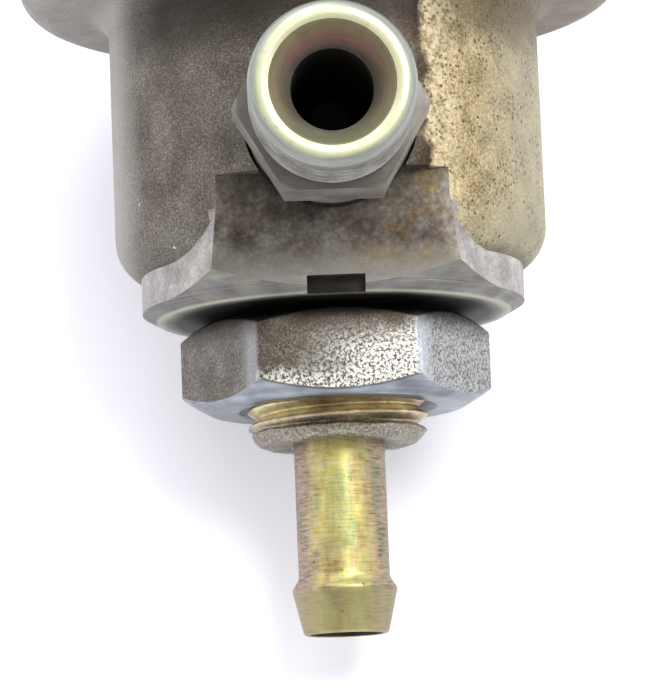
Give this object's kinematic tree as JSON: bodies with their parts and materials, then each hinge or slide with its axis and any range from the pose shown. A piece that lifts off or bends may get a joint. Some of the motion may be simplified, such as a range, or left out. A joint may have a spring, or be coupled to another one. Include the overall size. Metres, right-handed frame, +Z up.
{
  "type": "diaphragm pressure regulator",
  "caption": "Steel diaphragm pressure regulator: crimped can with a threaded side inlet, a threaded bracket stud with lock nut, a barbed hose tail and a vent nipple.",
  "frame": {"origin": "centre of the seat face, where the collar bears on its bracket, on the axis of the stud", "axes": "+Z up along the main axis towards the spring cover, -Z out of the hose tail, -Y out of the inlet, +X to the right seen from the inlet"},
  "size_m": [0.0546, 0.0618, 0.0954],
  "materials": {
    "blasted_steel": "dull grey-brown blasted steel, stained tan on one side",
    "bright_zinc": "turned steel with pale greenish zinc plating",
    "nut_zinc": "grainy mid-grey zinc plating, speckled",
    "yellow_chromate": "yellow chromate over turned steel, iridescent",
    "copper": "dull copper",
    "gauze": "woven wire gauze",
    "cover_zinc": "drawn steel with dull yellowed zinc plating",
    "rubber_fabric": "matt rubber over woven fabric",
    "pressed_steel": "pressed sheet steel, oiled",
    "valve_steel": "ground and lapped steel",
    "spring_steel": "dark oil-tempered spring wire"
  },
  "bodies": {
    "housing": {"lower_housing": "blasted_steel", "inlet_fitting": "bright_zinc", "inlet_washer": "copper", "inlet_strainer": "gauze", "outlet_stud": "yellow_chromate", "stud_seal_ring": "copper", "hose_stem": "yellow_chromate", "valve_seat": "valve_steel", "spring_cover": "cover_zinc", "vent_nipple": "yellow_chromate", "diaphragm": "rubber_fabric", "main_spring": "spring_steel", "spring_seat": "pressed_steel"},
    "valve_group": {"valve_carrier": "valve_steel", "valve_retainer": "spring_steel", "valve_ball": "valve_steel", "ball_spring": "spring_steel", "support_washer": "pressed_steel", "spring_plate": "pressed_steel"},
    "valve_plate": {"valve_plate": "valve_steel"},
    "lock_nut": {"lock_nut": "nut_zinc"}
  },
  "joints": [
    {"name": "valve_lift", "type": "slide", "parent": "housing", "child": "valve_group", "axis": [0, 0, 1], "range_m": [0, 0.0008], "stiffness_N_per_m": 12000, "deforming": ["main_spring", "diaphragm"]},
    {"name": "valve_plate_tilt", "type": "hinge", "parent": "valve_group", "child": "valve_plate", "pos_m": [0, 0, 0.02585], "axis": [1, 0, 0], "range_deg": [-1, 1], "stiffness_Nm_per_rad": 0.02},
    {"name": "lock_nut_turn", "type": "hinge", "parent": "housing", "child": "lock_nut", "pos_m": [0, 0, -0.0043], "axis": [0, 0, 1], "range_deg": [-2688, 72]}
  ]
}
